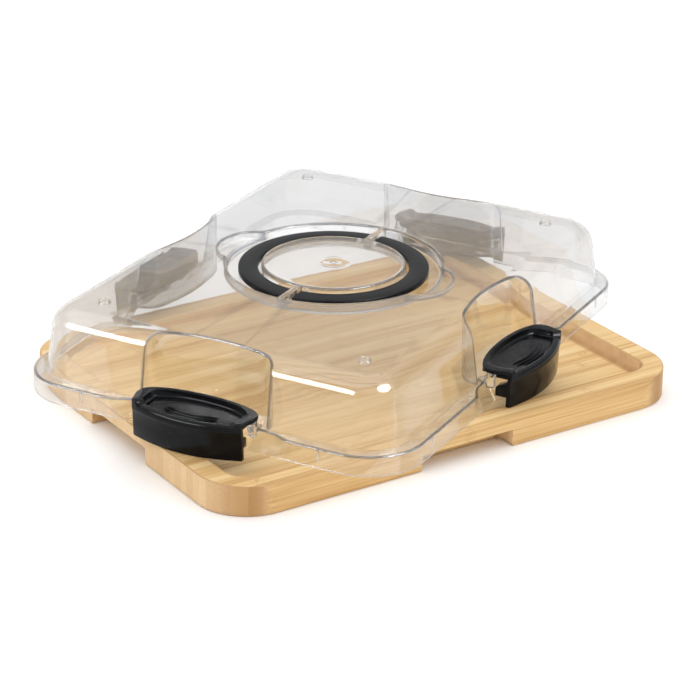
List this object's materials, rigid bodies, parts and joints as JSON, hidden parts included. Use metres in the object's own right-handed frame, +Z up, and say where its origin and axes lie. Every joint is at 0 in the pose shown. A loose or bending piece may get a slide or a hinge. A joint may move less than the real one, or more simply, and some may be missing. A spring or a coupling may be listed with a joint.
{
  "type": "lidded serving tray",
  "caption": "Rectangular bamboo serving tray with a sunken pocket, and a clear domed lid with rocker latches and a fold-flat ring handle, set down askew on it.",
  "frame": {"origin": "middle of the tray's underside, on the surface it stands on", "axes": "+X along the tray's long side, +Z up; the front long side faces -Y"},
  "size_m": [0.4524, 0.4176, 0.0867],
  "materials": {
    "bamboo": "oiled bamboo with long straight grain, satin",
    "clear_plastic": "clear polished acrylic",
    "black_plastic": "black moulded plastic, satin",
    "steel": "plain steel pin"
  },
  "bodies": {
    "tray": {"tray_board": "bamboo"},
    "lid": {"lid_shell": "clear_plastic"},
    "latch_front": {"latch_front": "black_plastic", "latch_front_pin_a": "steel", "latch_front_pin_b": "steel"},
    "latch_right": {"latch_right": "black_plastic", "latch_right_pin_a": "steel", "latch_right_pin_b": "steel"},
    "latch_back": {"latch_back": "black_plastic", "latch_back_pin_a": "steel", "latch_back_pin_b": "steel"},
    "latch_left": {"latch_left": "black_plastic", "latch_left_pin_a": "steel", "latch_left_pin_b": "steel"},
    "handle_back": {"handle_back": "black_plastic", "handle_back_pin_a": "steel", "handle_back_pin_b": "steel"},
    "handle_front": {"handle_front": "black_plastic", "handle_front_pin_a": "steel", "handle_front_pin_b": "steel"}
  },
  "joints": [
    {"name": "lid_lift", "type": "slide", "parent": "tray", "child": "lid", "axis": [0, 0, 1], "range_m": [0, 0.12]},
    {"name": "latch_front_swing", "type": "hinge", "parent": "lid", "child": "latch_front", "pos_m": [0.07307, -0.09979, 0.0448], "axis": [-0.8758, -0.4827, 0], "range_deg": [0, 14]},
    {"name": "latch_right_swing", "type": "hinge", "parent": "lid", "child": "latch_right", "pos_m": [0.16919, 0.11966, 0.0448], "axis": [0.4827, -0.8758, 0], "range_deg": [0, 14]},
    {"name": "latch_back_swing", "type": "hinge", "parent": "lid", "child": "latch_back", "pos_m": [-0.06767, 0.15559, 0.0448], "axis": [0.8758, 0.4827, 0], "range_deg": [0, 14]},
    {"name": "latch_left_swing", "type": "hinge", "parent": "lid", "child": "latch_left", "pos_m": [-0.16379, -0.06386, 0.0448], "axis": [-0.4827, 0.8758, 0], "range_deg": [0, 14]},
    {"name": "handle_back_fold", "type": "hinge", "parent": "lid", "child": "handle_back", "pos_m": [-0.00029, 0.03333, 0.0804], "axis": [0.8758, 0.4827, 0], "range_deg": [0, 90]},
    {"name": "handle_front_fold", "type": "hinge", "parent": "lid", "child": "handle_front", "pos_m": [0.00569, 0.02247, 0.0804], "axis": [-0.8758, -0.4827, 0], "range_deg": [0, 90]}
  ]
}
